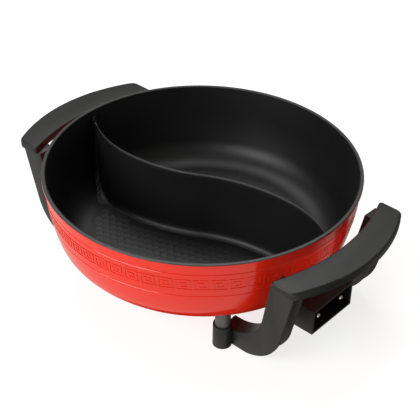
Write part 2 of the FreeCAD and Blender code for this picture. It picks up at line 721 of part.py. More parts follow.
def grip_cover(label, turn):
    """The smooth top of a grip, with the posts that its screws bite into."""
    body = new_body(label)
    plate = new_sketch(body, label + "_plate", "XY_Plane", TRAY_TOP)
    grip_outline(plate, "0")
    body.Tip = pad(body, plate, "dims.cover_thickness")
    round_grip(body, "0")
    top = fit(GRIP_TOP)[1]
    body.Tip = round_edges(body, "dims.cover_roll", lambda edge: abs(edge.BoundBox.ZMin - top) < 0.01)
    posts = new_sketch(body, label + "_posts", "XY_Plane", TRAY_BASE + " + dims.tray_floor")
    circles(posts, GRIP_SCREWS, "dims.cover_post")
    body.Tip = pad(body, posts, "dims.tray_height - dims.tray_floor + dims.cover_thickness / 3")
    holes = new_sketch(body, label + "_holes", "XY_Plane", TRAY_TOP + " + dims.cover_thickness / 3")
    circles(holes, GRIP_SCREWS, "dims.cover_shank")
    body.Tip = pocket(body, holes, "dims.tray_height - dims.tray_floor + dims.cover_thickness / 3")
    return turned_round(body, turn)


def screws(label, places, head, shank, seat, head_height, length):
    """A group of pan head screws that point up, each with a cross slot in its head."""
    pieces = []
    for number, (along, across) in enumerate(places, start=1):
        name = "%s_%d" % (label, number)
        under = "%s - %s" % (seat, head_height)
        top = rod(name + "_head", head, head_height, along, across, under)
        stem = rod(name + "_stem", shank, length + " + 0.2", along, across, seat + " - 0.2")
        slots = [
            box(
                "%s_slot_%s" % (name, way),
                ("%s - %s" % (along, first), "%s - %s" % (across, last), under),
                ("%s + %s" % (along, first), "%s + %s" % (across, last), under + " + dims.slot_depth"),
            )
            for way, first, last in (
                ("long", head + " * 0.6", "dims.slot_width / 2"),
                ("wide", "dims.slot_width / 2", head + " * 0.6"),
            )
        ]
        pieces.append(cut(name, joined(name + "_blank", [top, stem]), joined(name + "_cross", slots)))
    return group(label, pieces)


def rings(label, places, outer, inner, thickness, height):
    """A group of flat rings."""
    pieces = []
    for number, (along, across) in enumerate(places, start=1):
        name = "%s_%d" % (label, number)
        disc = rod(name + "_disc", outer, thickness, along, across, height)
        hole = rod(name + "_hole", inner, thickness, along, across, height)
        pieces.append(cut(name, disc, hole))
    return group(label, pieces)


SHROUD_TOP = SOCKET_BASE + " + dims.socket_height"
PLATE_FRONT = BLOCK_FRONT + " + dims.plate_thickness"


def pot_clearance():
    """The outside of the pot grown by a play, to cut what must stay clear of it."""
    body = new_body("pot_clearance_form")
    sketch = new_sketch(body, "pot_clearance_outline", "XZ_Plane")
    outline(sketch, wall_corners("dims.pot_clearance") + [
        (WALL_TOP + " + dims.pot_clearance", RIM), ("0", RIM),
    ])
    body.Tip = turned(body, sketch)
    return body


POT_FORM = pot_clearance()


def socket_shroud():
    """The open ended box round the pins, cut to the curve of the pot above it."""
    outer = box(
        "shroud_block",
        (BLOCK_BACK + " + dims.socket_start", "-dims.socket_half", SOCKET_BASE),
        (SOCKET_FRONT, "dims.socket_half", SHROUD_TOP),
    )
    inner = box(
        "shroud_room",
        (BLOCK_BACK + " + dims.socket_start - 1", "-dims.socket_half + dims.socket_wall",
         SOCKET_BASE + " + dims.socket_wall"),
        (SOCKET_FRONT + " + 1", "dims.socket_half - dims.socket_wall",
         SHROUD_TOP + " - dims.socket_wall"),
    )
    holes = [
        rod("shroud_hole_%d" % number, "dims.screw_shank + dims.screw_gap", "dims.socket_wall",
            CLAMP_ALONG, across, SOCKET_BASE)
        for number, across in enumerate(CLAMP_ACROSS, start=1)
    ]
    return cut("socket_shroud", outer, joined("shroud_tools", [inner, POT_FORM] + holes))


def terminal_plate():
    """The steel plate behind the pins, with holes for both insulators and the probe."""
    plate = box(
        "plate_blank",
        (BLOCK_FRONT, "-dims.block_half", BLOCK_BASE + " + dims.plate_lip"),
        (PLATE_FRONT, "dims.block_half", PIN_HEIGHT + " + dims.plate_rise"),
    )
    holes = [
        rod("plate_hole_%d" % number, radius, "dims.plate_thickness", BLOCK_FRONT, across,
            height, "X")
        for number, (radius, across, height) in enumerate((
            ("dims.insulator_radius + 0.1", "dims.pin_spacing / 2", PIN_HEIGHT),
            ("dims.insulator_radius + 0.1", "-1 * dims.pin_spacing / 2", PIN_HEIGHT),
            ("dims.probe_port", "0", PROBE_HEIGHT),
        ), start=1)
    ]
    return cut("terminal_plate", plate, joined("plate_holes", holes + [POT_FORM]))


def clamp_plate():
    """The bent plate that holds the shroud to the pot and traps the terminal plate."""
    level = SOCKET_BASE + " + dims.socket_wall"
    flat = box(
        "clamp_flat",
        (BLOCK_BACK + " + 4", "-dims.block_half + 3", level),
        (PLATE_FRONT + " + dims.plate_thickness", "dims.block_half - 3", BLOCK_BASE),
    )
    lip = box(
        "clamp_lip",
        (PLATE_FRONT, "-dims.block_half + 3", level),
        (PLATE_FRONT + " + dims.plate_thickness", "dims.block_half - 3",
         BLOCK_BASE + " + dims.plate_lip + dims.plate_thickness"),
    )
    holes = [
        rod("clamp_screw_hole_%d" % number, "dims.screw_shank + dims.screw_gap", "dims.pot_gap",
            CLAMP_ALONG, across, level)
        for number, across in enumerate(CLAMP_ACROSS, start=1)
    ]
    return cut("shroud_clamp", joined("clamp_blank", [flat, lip]), joined("clamp_holes", holes))


def insulator(label, across):
    """A flanged ceramic bush that carries one pin through the terminal plate."""
    nose = rod(label + "_nose", "dims.insulator_radius", "dims.plate_thickness + dims.insulator_nose",
               BLOCK_FRONT, across, PIN_HEIGHT, "X")
    flange = rod(label + "_flange", "dims.insulator_flange", "dims.plate_thickness", PLATE_FRONT,
                 across, PIN_HEIGHT, "X")
    hole = rod(label + "_hole", "dims.pin_neck", "dims.rim_radius", BLOCK_FRONT, across,
               PIN_HEIGHT, "X")
    return cut(label, joined(label + "_blank", [nose, flange]), hole)


SHOULDER = (
    "(dims.rim_radius - dims.block_inset + dims.plate_thickness"
    " + dims.insulator_nose + dims.pin_shoulder)"
)


def terminal_pin(label, across):
    """A round pin with a thinner neck in its insulator and a domed tip."""
    neck = rod(label + "_neck", "dims.pin_neck", SHOULDER + " - " + BLOCK_FRONT + " + 1",
               BLOCK_FRONT, across, PIN_HEIGHT, "X")
    stem = rod(label + "_stem", "dims.pin_radius", PIN_TIP + " - dims.pin_radius - " + SHOULDER,
               SHOULDER, across, PIN_HEIGHT, "X")
    dome = doc.addObject("Part::Sphere", label + "_dome")
    bind(dome, "Radius", "dims.pin_radius")
    bind(dome, "Placement.Base.x", PIN_TIP + " - dims.pin_radius")
    bind(dome, "Placement.Base.y", across)
    bind(dome, "Placement.Base.z", PIN_HEIGHT)
    return joined(label, [neck, stem, dome])


PIN_SIDES = (("left", "dims.pin_spacing / 2"), ("right", "-1 * dims.pin_spacing / 2"))
SIDES = (("socket_side", 0), ("plain_side", 180))

pieces = pot_pieces() + [tube("heating_element", get("element_radius"))]
pieces += [terminal_plate(), clamp_plate(), socket_shroud()]
for name, across in PIN_SIDES:
    pieces += [insulator("insulator_" + name, across), terminal_pin("terminal_pin_" + name, across)]
pieces.append(screws("clamp_screws", [(CLAMP_ALONG, across) for across in CLAMP_ACROSS],
                     "dims.head_radius", "dims.screw_shank", SOCKET_BASE, "dims.head_height",
                     "dims.socket_drop - dims.block_drop + dims.screw_grip * 0.8"))
for name, turn in SIDES:
    feet = BOSS_PLACES[:2] if turn == 0 else BOSS_PLACES[2:]
    pieces += [handle_frame("handle_" + name, turn), grip_cover("grip_cover_" + name, turn)]
    pieces.append(turned_round(screws(
        "cover_screws_" + name, GRIP_SCREWS, "dims.cover_head", "dims.cover_shank",
        TRAY_BASE + " + dims.cover_head_sink", "dims.cover_head_height",
        "dims.tray_height - dims.cover_head_sink",
    ), turn))
    pieces.append(rings("gaskets_" + name, feet, FOOT_RADIUS, "dims.screw_shank + dims.screw_gap",
                        "dims.gasket_thickness", CUP_FLOOR))
    pieces.append(rings("washers_" + name, feet, "dims.head_radius", "dims.screw_shank + 0.1",
                        "dims.washer_thickness", "dims.seat_height - dims.washer_thickness"))
    pieces.append(screws("leg_screws_" + name, feet, "dims.head_radius", "dims.screw_shank",
                         "dims.seat_height - dims.washer_thickness", "dims.head_height",
                         FOOT_BASE + " - dims.seat_height + dims.washer_thickness + dims.screw_grip"))

doc.recompute()
for thing in doc.Objects:
    if "Invalid" in thing.State or "Error" in thing.State:
        raise RuntimeError("%s failed" % thing.Label)
os.makedirs("parts", exist_ok=True)
for piece in pieces:
    if piece.Shape.isNull() or not piece.Shape.isValid():
        raise RuntimeError("%s has no valid shape" % piece.Label)
    piece.Shape.exportStep("parts/%s.step" % piece.Label)
    print(piece.Label, len(piece.Shape.Solids), round(piece.Shape.Volume / 1000, 2))
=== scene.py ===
"""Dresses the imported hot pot: enamel, non-stick inside, fret band, moulded handles and a plain studio."""

import math

import bmesh
import bpy
import numpy as np
from bpy.props import FloatProperty, FloatVectorProperty, IntProperty, PointerProperty
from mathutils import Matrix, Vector


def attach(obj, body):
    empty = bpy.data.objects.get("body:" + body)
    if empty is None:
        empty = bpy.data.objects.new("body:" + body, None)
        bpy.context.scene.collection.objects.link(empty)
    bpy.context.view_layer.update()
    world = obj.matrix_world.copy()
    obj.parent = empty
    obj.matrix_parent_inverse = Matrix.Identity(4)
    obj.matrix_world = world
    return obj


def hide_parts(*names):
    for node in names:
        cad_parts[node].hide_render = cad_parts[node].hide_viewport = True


bl_info = {
    "name": "Hot pot dresser",
    "version": (1, 0, 0),
    "blender": (4, 5, 0),
    "location": "View3D > Sidebar > Hot pot",
    "description": "Builds the finished pieces of a divided electric hot pot round its packed frame",
    "category": "Object",
}

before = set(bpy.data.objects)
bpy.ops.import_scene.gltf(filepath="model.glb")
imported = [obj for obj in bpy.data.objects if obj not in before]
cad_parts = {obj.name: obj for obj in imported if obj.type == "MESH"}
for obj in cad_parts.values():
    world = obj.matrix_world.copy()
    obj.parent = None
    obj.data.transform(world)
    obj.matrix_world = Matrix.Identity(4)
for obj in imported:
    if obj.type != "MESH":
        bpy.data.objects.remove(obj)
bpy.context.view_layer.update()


class PotShape(bpy.types.PropertyGroup):
    """Sizes of the cast pot."""

    rim_radius: FloatProperty(
        name="Rim radius", description="Outside radius of the red lip", default=0.160, unit="LENGTH"
    )
    rim_height: FloatProperty(
        name="Rim height", description="Table to the top of the rim", default=0.121, unit="LENGTH"
    )
    rim_land: FloatProperty(
        name="Rim land", description="Width of the flat grey rim", default=0.004, unit="LENGTH"
    )
    lip_height: FloatProperty(
        name="Lip height", description="Height of the red lip", default=0.0034, unit="LENGTH"
    )
    belly_height: FloatProperty(
        name="Bend height", description="Table to the bend of the wall", default=0.0746, unit="LENGTH"
    )
    base_height: FloatProperty(
        name="Base height", description="Table to the pot's underside", default=0.033, unit="LENGTH"
    )
    floor_height: FloatProperty(
        name="Floor height", description="Table to the cooking floor", default=0.037, unit="LENGTH"
    )
    groove_width: FloatProperty(
        name="Groove width", description="Width of a line round the band", default=0.0011, unit="LENGTH"
    )
    groove_depth: FloatProperty(
        name="Groove depth", description="Depth of a line round the band", default=0.0006, unit="LENGTH"
    )


class DividerShape(bpy.types.PropertyGroup):
    """Sizes of the S shaped divider."""

    drop: FloatProperty(
        name="Drop", description="Rim down to the top of the divider", default=0.012, unit="LENGTH"
    )
    crest_along: FloatProperty(
        name="Crest along", description="Axis to a crest of the S", default=0.088, unit="LENGTH"
    )
    crest_across: FloatProperty(
        name="Crest across", description="Swing of each crest", default=0.024, unit="LENGTH"
    )
    end_curve: FloatProperty(
        name="End curve", description="Radius from a crest to the wall", default=0.1134, unit="LENGTH"
    )
    top_width: FloatProperty(
        name="Top width", description="Width of the rounded top", default=0.003, unit="LENGTH"
    )
    root: FloatProperty(
        name="Root", description="Fillet where it meets the floor", default=0.008, unit="LENGTH"
    )
    flare: FloatProperty(
        name="Flare", description="Fillet where it meets the wall", default=0.011, unit="LENGTH"
    )
    rise: FloatProperty(
        name="Rise", description="How far its top climbs at the wall", default=0.005, unit="LENGTH"
    )


class BandShape(bpy.types.PropertyGroup):
    """The raised fret round the pot and the scales on its floor."""

    count: IntProperty(name="Count", description="Frets round the pot", default=60)
    top_drop: FloatProperty(
        name="Top", description="Rim down to the top of the fret", default=0.0196, unit="LENGTH"
    )
    base_drop: FloatProperty(
        name="Base", description="Rim down to the foot of the fret", default=0.0330, unit="LENGTH"
    )
    relief: FloatProperty(
        name="Relief", description="How far the fret stands proud", default=0.00045, unit="LENGTH"
    )
    scale_pitch: FloatProperty(
        name="Scale pitch", description="Spacing of the floor's scales", default=0.0080, unit="LENGTH"
    )
    scale_relief: FloatProperty(
        name="Scale relief", description="Height of the floor's scales", default=0.00012, unit="LENGTH"
    )


class Finishes(bpy.types.PropertyGroup):
    """Colours of the finishes."""

    enamel: FloatVectorProperty(
        name="Enamel", description="Red outside of the pot", default=(0.74, 0.020, 0.006),
        subtype="COLOR", min=0, max=1
    )
    lining: FloatVectorProperty(
        name="Lining", description="Non-stick inside", default=(0.0050, 0.0050, 0.0054),
        subtype="COLOR", min=0, max=1
    )
    rim: FloatVectorProperty(
        name="Rim", description="Flat rim", default=(0.035, 0.034, 0.034), subtype="COLOR", min=0, max=1
    )
    plastic: FloatVectorProperty(
        name="Plastic", description="Moulded handles and socket", default=(0.0070, 0.0072, 0.0073),
        subtype="COLOR", min=0, max=1
    )


class Signal:
    """A shader socket that takes part in plain arithmetic."""

    def __init__(self, finish, socket):
        self.finish = finish
        self.socket = socket

    def join(self, operation, first, second):
        return self.finish.node("ShaderNodeMath", {"operation": operation}, {0: first, 1: second})

    def __add__(self, other):
        return self.join("ADD", self, other)

    def __radd__(self, other):
        return self.join("ADD", other, self)

    def __sub__(self, other):
        return self.join("SUBTRACT", self, other)

    def __rsub__(self, other):
        return self.join("SUBTRACT", other, self)

    def __mul__(self, other):
        return self.join("MULTIPLY", self, other)

    def __rmul__(self, other):
        return self.join("MULTIPLY", other, self)


class Finish:
    """One procedural material, written as expressions."""

    def __init__(self, name, **fixed):
        self.material = bpy.data.materials.new(name)
        self.material.use_nodes = True
        self.tree = self.material.node_tree
        self.shader = self.tree.nodes["Principled BSDF"]
        for socket, value in fixed.items():
            self.shader.inputs[socket.replace("_", " ")].default_value = value

    def node(self, kind, settings=None, values=None, output=0):
        """Add a node, its settings first and then the values or links of its sockets."""
        node = self.tree.nodes.new(kind)
        for name, value in (settings or {}).items():
            if name == "stops":
                ramp = node.color_ramp.elements
                while len(ramp) < len(value):
                    ramp.new(0.5)
                for element, (place, shade) in zip(ramp, value):
                    element.position = place
                    element.color = shade
            else:
                setattr(node, name, value)
        for key, value in (values or {}).items():
            if isinstance(value, Signal):
                self.tree.links.new(value.socket, node.inputs[key])
            else:
                node.inputs[key].default_value = value
        return Signal(self, node.outputs[output])

    def place(self, scale=(1, 1, 1)):
        """Object coordinates, stretched by a scale."""
        spot = self.node("ShaderNodeTexCoord", output=3)
        return self.node("ShaderNodeMapping", None, {"Vector": spot, "Scale": scale})

    def noise(self, size, detail=2.0, rough=0.5, scale=(1, 1, 1)):
        return self.node(
            "ShaderNodeTexNoise", None,
            {"Vector": self.place(scale), "Scale": size, "Detail": detail, "Roughness": rough},
        )

    def tone(self, low, high, amount):
        """A colour between two others."""
        return self.node(
            "ShaderNodeMix", {"data_type": "RGBA"},
            {"Factor": amount, 6: tuple(low) + (1,), 7: tuple(high) + (1,)}, output=2,
        )

    def set(self, **signals):
        for name, signal in signals.items():
            self.tree.links.new(signal.socket, self.shader.inputs[name.replace("_", " ")])

    def bump(self, height, distance, strength=1.0):
        self.set(Normal=self.node(
            "ShaderNodeBump", None, {"Strength": strength, "Distance": distance, "Height": height}
        ))


def shade(colour, factor):
    return tuple(min(1.0, part * factor) for part in colour)


def enamel_finish(colour):
    """Deep red baked enamel with a faint orange peel."""
    finish = Finish("red_enamel", Specular_IOR_Level=0.5)
    wave = finish.noise(60.0, 2.0)
    finish.set(Base_Color=finish.tone(shade(colour, 0.94), shade(colour, 1.04), wave))
    finish.set(Roughness=0.10 + wave * 0.06)
    finish.bump(finish.noise(420.0, 1.0), 0.00004, 0.5)
    return finish.material


def lining_finish(colour):
    """Dark non-stick lining with a fine speckle and a soft sheen."""
    finish = Finish("non_stick_lining", Specular_IOR_Level=0.42)
    speck = finish.noise(2600.0, 1.0, 0.6)
    spots = finish.node("ShaderNodeValToRGB", {"stops": ((0.60, (0, 0, 0, 1)), (0.72, (1, 1, 1, 1)))},
                        {"Fac": speck})
    finish.set(Base_Color=finish.tone(colour, shade(colour, 3.2), spots))
    cloud = finish.noise(25.0, 3.0)
    finish.set(Roughness=0.40 + cloud * 0.10)
    finish.bump(finish.noise(1500.0, 2.0), 0.00005, 0.6)
    return finish.material


def rim_finish(colour):
    """Turned flat of the rim, half covered by the lining."""
    finish = Finish("turned_rim", Metallic=0.0, Specular_IOR_Level=0.5)
    grain = finish.noise(700.0, 3.0, 0.6)
    finish.set(Base_Color=finish.tone(shade(colour, 0.75), shade(colour, 1.25), grain))
    finish.set(Roughness=0.34 + grain * 0.12)
    finish.bump(grain, 0.00004, 0.5)
    return finish.material


def plastic_finish(colour):
    """Moulded phenolic with an even spark grain and slightly rubbed places."""
    finish = Finish("moulded_plastic", Specular_IOR_Level=0.5)
    grain = finish.noise(2200.0, 2.0, 0.55)
    rubbed = finish.noise(18.0, 3.0)
    finish.set(Base_Color=finish.tone(shade(colour, 0.85), shade(colour, 1.2), rubbed))
    finish.set(Roughness=0.40 + rubbed * 0.12)
    finish.bump(grain, 0.00006, 0.55)
    return finish.material


def metal_finish(name, colour, rough, stretch):
    """Bare or plated metal with drawn lines along one way."""
    finish = Finish(name, Metallic=1.0)
    lines = finish.noise(400.0, 3.0, 0.6, stretch)
    finish.set(Base_Color=finish.tone(shade(colour, 0.82), shade(colour, 1.1), lines))
    finish.set(Roughness=rough + lines * 0.15)
    finish.bump(lines, 0.00003, 0.5)
    return finish.material


def casting_finish():
    """Sand grey bare casting under the pot, with a fine cast skin."""
    finish = Finish("bare_casting", Metallic=0.75)
    skin = finish.noise(900.0, 4.0, 0.65)
    finish.set(Base_Color=finish.tone((0.10, 0.10, 0.102), (0.19, 0.19, 0.192), skin))
    finish.set(Roughness=0.45 + skin * 0.2)
    finish.bump(skin, 0.00012, 0.6)
    return finish.material


def dull_finish(name, colour, rough, grain_size):
    """Ceramic or heat gasket: a dull body with a fine grain."""
    finish = Finish(name, Specular_IOR_Level=0.4)
    grain = finish.noise(grain_size, 3.0, 0.6)
    finish.set(Base_Color=finish.tone(shade(colour, 0.85), shade(colour, 1.05), grain))
    finish.set(Roughness=rough + grain * 0.12)
    finish.bump(grain, 0.00006, 0.5)
    return finish.material


def made(name):
    """A finish by name, built the first time it is asked for."""
    if name in bpy.data.materials:
        return bpy.data.materials[name]
    colours = bpy.context.scene.hot_pot_finishes
    makers = {
        "red_enamel": lambda: enamel_finish(tuple(colours.enamel)),
        "non_stick_lining": lambda: lining_finish(tuple(colours.lining)),
        "turned_rim": lambda: rim_finish(tuple(colours.rim)),
        "moulded_plastic": lambda: plastic_finish(tuple(colours.plastic)),
        "bare_casting": casting_finish,
        "sheath": lambda: metal_finish("sheath", (0.35, 0.34, 0.33), 0.40, (1, 1, 1)),
        "plate_steel": lambda: metal_finish("plate_steel", (0.56, 0.56, 0.57), 0.25, (1, 12, 1)),
        "zinc_screw": lambda: metal_finish("zinc_screw", (0.62, 0.62, 0.60), 0.28, (3, 3, 1)),
        "pin_nickel": lambda: metal_finish("pin_nickel", (0.86, 0.85, 0.82), 0.10, (1, 8, 8)),
        "glazed_ceramic": lambda: dull_finish("glazed_ceramic", (0.84, 0.81, 0.74), 0.22, 500.0),
        "heat_gasket": lambda: dull_finish("heat_gasket", (0.34, 0.33, 0.31), 0.75, 1800.0),
    }
    return makers[name]()


def settle(piece, slot, *nodes):
    """Give a finished piece its ride and hide the nodes that it stands for; the slot is not used."""
    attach(piece, "root")
    if nodes:
        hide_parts(*nodes)
    return piece


def mesh_piece(name, points, faces, materials, indices=None, angle=35.0):
    """A smooth shaded mesh object from plain lists."""
    mesh = bpy.data.meshes.new(name)
    mesh.from_pydata([tuple(point) for point in points], [], faces)
    for material in materials:
        mesh.materials.append(made(material))
    if indices is not None:
        mesh.polygons.foreach_set("material_index", indices)
    tidy = bmesh.new()
    tidy.from_mesh(mesh)
    bmesh.ops.remove_doubles(tidy, verts=tidy.verts, dist=1e-6)
    bmesh.ops.recalc_face_normals(tidy, faces=tidy.faces)
    tidy.to_mesh(mesh)
    tidy.free()
    mesh.shade_smooth()
    mesh.set_sharp_from_angle(angle=math.radians(angle))
    piece = bpy.data.objects.new(name, mesh)
    bpy.context.scene.collection.objects.link(piece)
    return piece


def rounded(corners, steps=10):
    """A line of points through corners (radius, height, round, tag), with true arcs."""
    line = []
    spots = [np.array(corner[:2], float) for corner in corners]
    for index, corner in enumerate(corners):
        here, size, tag = spots[index], corner[2], corner[3]
        if not size:
            line.append((here[0], here[1], tag))
            continue
        back = spots[index - 1] - here
        ahead = spots[index + 1] - here
        back /= np.linalg.norm(back)
        ahead /= np.linalg.norm(ahead)
        half = math.acos(float(np.clip(back @ ahead, -1, 1))) / 2
        middle = here + (back + ahead) / np.linalg.norm(back + ahead) * size / math.sin(half)
        first = here + back * size / math.tan(half) - middle
        last = here + ahead * size / math.tan(half) - middle
        turn = math.atan2(first[0] * last[1] - first[1] * last[0], float(first @ last))
        for step in range(steps + 1):
            angle = turn * step / steps
            spot = middle + np.array([
                first[0] * math.cos(angle) - first[1] * math.sin(angle),
                first[0] * math.sin(angle) + first[1] * math.cos(angle),
            ])
            line.append((spot[0], spot[1], tag))
    return line


# Slopes of the wall above and below its bend
WALL = math.tan(math.radians(7.1))
FOOT = math.tan(math.radians(16.7))
# The wall's step in from the red lip, and the rounding at its bend, its base and the floor
LIP_STEP = 0.0012
BELLY_BEND = 0.195
BASE_ROUND = 0.0364
FLOOR_ROUND = 0.030
# Rim down to each line round the pot, and a line's section: half widths across, share of depth
GROOVE_DROPS = (0.0409, 0.0131)
GROOVE_SECTION = ((-1.3, 0), (-0.5, 0.8), (0, 1), (0.5, 0.8), (1.3, 0))
# Faces round the pot, and steps in each rounding of its outline
AROUND = 288
ROUND_STEPS = 14


def outside_line(shape):
    """The outside of the pot from the axis up to the lip, with its two grooves."""
    rim, high = shape.rim_radius, shape.rim_height
    top = high - shape.lip_height
    wall = rim - LIP_STEP
    belly = wall - (top - shape.belly_height) * WALL
    foot = belly - (shape.belly_height - shape.base_height) * FOOT

    plain = rounded([
        (0, shape.base_height, 0, 0),
        (0.05, shape.base_height, 0, 0),
        (foot, shape.base_height, BASE_ROUND, 0),
        (belly, shape.belly_height, BELLY_BEND, 0),
        (wall, top, 0.0004, 0),
        (rim, top, 0.0010, 0),
        (rim, high, 0.0009, 1),
        (rim - 0.0014, high, 0, 1),
    ], ROUND_STEPS)
    half = shape.groove_width / 2
    for drop in GROOVE_DROPS:
        level = high - drop
        dent = []
        for side, depth in GROOVE_SECTION:
            height = level + half * side
            dent.append((float(radius_at(plain, height)) - shape.groove_depth * depth, height, 0))
        below = [spot for spot in plain if spot[1] < level - half * 1.4]
        above = [spot for spot in plain if spot[1] > level + half * 1.4]
        plain = below + dent + above
    return plain


def inside_line(shape):
    """The inside of the pot from the axis up to the flat rim."""
    rim = shape.rim_radius - shape.rim_land
    belly = rim - (shape.rim_height - shape.belly_height) * WALL
    foot = belly - (shape.belly_height - shape.floor_height) * FOOT
    return rounded([
        (0, shape.floor_height, 0, 2),
        (0.05, shape.floor_height, 0, 2),
        (foot, shape.floor_height, FLOOR_ROUND, 2),
        (belly, shape.belly_height, BELLY_BEND, 2),
        (rim, shape.rim_height, 0.0008, 2),
        (rim + 0.0012, shape.rim_height, 0, 1),
    ], ROUND_STEPS)


def radius_at(line, level):
    """The radius of a turned outline at a height."""
    rows = sorted((height, radius) for radius, height, _ in line)
    return np.interp(level, [row[0] for row in rows], [row[1] for row in rows])


class HOTPOT_OT_shell(bpy.types.Operator):
    """Turn the pot's skin: enamel outside, flat rim and lining"""

    bl_idname = "hotpot.shell"
    bl_label = "Pot shell"

    def execute(self, context):
        shape = context.scene.hot_pot_shape
        outer = outside_line(shape)
        inner = inside_line(shape)
        line = outer + inner[::-1]
        points, faces, kinds = [], [], []
        rows = []
        for radius, height, tag in line:
            if radius < 1e-9:
                rows.append([len(points)] * AROUND)
                points.append((0, 0, height))
                continue
            rows.append(list(range(len(points), len(points) + AROUND)))
            for step in range(AROUND):
                angle = 2 * math.pi * step / AROUND
                points.append((radius * math.cos(angle), radius * math.sin(angle), height))
        for index in range(len(line) - 1):
            first, second = rows[index], rows[index + 1]
            tag = max(line[index][2], line[index + 1][2])
            if index < len(outer):
                tag = line[index][2]
            for step in range(AROUND):
                after = (step + 1) % AROUND
                face = [first[step], first[after], second[after], second[step]]
                face = [spot for place, spot in enumerate(face) if spot != face[place - 1]]
                faces.append(face)
                kinds.append(tag)
        piece = mesh_piece(
            "pot_shell", points, faces, ("red_enamel", "turned_rim", "non_stick_lining"), kinds, 30
        )
        settle(piece, "pot", "pot_casting")
        return {"FINISHED"}


# Draft of the divider's faces, its turn from a crest to the wall, and its sink into floor and wall
DIVIDER_DRAFT = math.radians(3.0)
END_TURN = math.radians(42.0)
FLOOR_SINK = 0.0006
WALL_SINK = 0.0011


def divider_path(shape, steps=70):
    """Stations along the S with the sideways direction at each."""
    along, across = shape.crest_along, shape.crest_across
    curve = (along ** 2 + across ** 2) / (2 * across)
    turn = 2 * math.atan(across / along)
    stations = []
    for step in range(steps, 0, -1):
        angle = END_TURN * step / steps
        reach = shape.end_curve
        stations.append((
            -along - reach * math.sin(angle), -across + reach - reach * math.cos(angle),
            -math.sin(angle), math.cos(angle),
        ))
    for step in range(steps + 1):
        angle = turn * step / steps
        stations.append((
            -along + curve * math.sin(angle), -across + curve - curve * math.cos(angle),
            -math.sin(angle), math.cos(angle),
        ))
    mirrored = [(-x, -y, u, v) for x, y, u, v in stations[::-1]]
    return stations + mirrored[1:]


class HOTPOT_OT_divider(bpy.types.Operator):
    """Sweep the S shaped divider, flared where it runs into the wall"""

    bl_idname = "hotpot.divider"
    bl_label = "Divider"

    def execute(self, context):
        pot = context.scene.hot_pot_shape
        shape = context.scene.hot_pot_divider
        inner = inside_line(pot)
        base = pot.floor_height - FLOOR_SINK
        top = pot.rim_height - shape.drop
        draft = math.tan(DIVIDER_DRAFT)
        nose = shape.top_width * 0.45
        # Heights above the base, close together in the root; the nose is added after them
        levels = [0.0006 * step for step in range(8)] + [0.006, 0.0085]
        levels += list(np.linspace(0.012, top - base - nose, 16))
        points, rows = [], []
        for x, y, side_x, side_y in divider_path(shape):
            radius = math.hypot(x, y)
            row_left, row_right = [], []
            limit_top = float(radius_at(inner, top))
            near_top = max(0.0, 1.0 - max(0.0, limit_top - radius) / shape.flare)
            climb = shape.rise * (1 - math.sqrt(max(0.0, 1 - min(1.0, near_top) ** 2)))
            stretch = (top - base + climb) / (top - base)
            section = []
            for level in levels:
                height = base + level * stretch
                half = shape.top_width / 2 + (top + climb - height) * draft
                below = max(0.0, shape.root - level)
                half += shape.root - math.sqrt(shape.root ** 2 - below ** 2)
                section.append((half, height))
            for step in range(1, 6):
                angle = math.pi / 2 * step / 6
                half = shape.top_width / 2 - nose * (1 - math.cos(angle))
                section.append((half, top + climb - nose * (1 - math.sin(angle))))
            section.append((shape.top_width / 2 - nose, top + climb))
            for half, height in section:
                limit = float(radius_at(inner, height))
                near = min(1.0, max(0.0, 1.0 - (limit - radius) / shape.flare))
                half += shape.flare * (1 - math.sqrt(max(0.0, 1 - near ** 2)))
                for sign, row in ((1, row_left), (-1, row_right)):
                    spot = np.array([x + sign * side_x * half, y + sign * side_y * half])
                    reach = float(np.linalg.norm(spot))
                    bound = limit + WALL_SINK
                    if reach > bound:
                        spot *= bound / reach
                    row.append((spot[0], spot[1], height))
            ring = row_left + row_right[::-1]
            rows.append(list(range(len(points), len(points) + len(ring))))
            points += ring
        faces = []
        for first, second in zip(rows, rows[1:]):
            size = len(first)
            for step in range(size):
                after = (step + 1) % size
                faces.append([first[step], first[after], second[after], second[step]])
        for ring in (rows[0], rows[-1]):
            half = len(ring) // 2
            for step in range(half - 1):
                faces.append([ring[step], ring[step + 1], ring[-2 - step], ring[-1 - step]])
        piece = mesh_piece("divider_wall", points, faces, ("non_stick_lining",), None, 50)
        settle(piece, "pot", "pot_casting")
        return {"FINISHED"}


FRET = (
    "#######.",
    "#.....#.",
    "#.###.#.",
    "#.#.#.#.",
    "#.#...#.",
    "#.#####.",
    "#.......",
    "########",
)


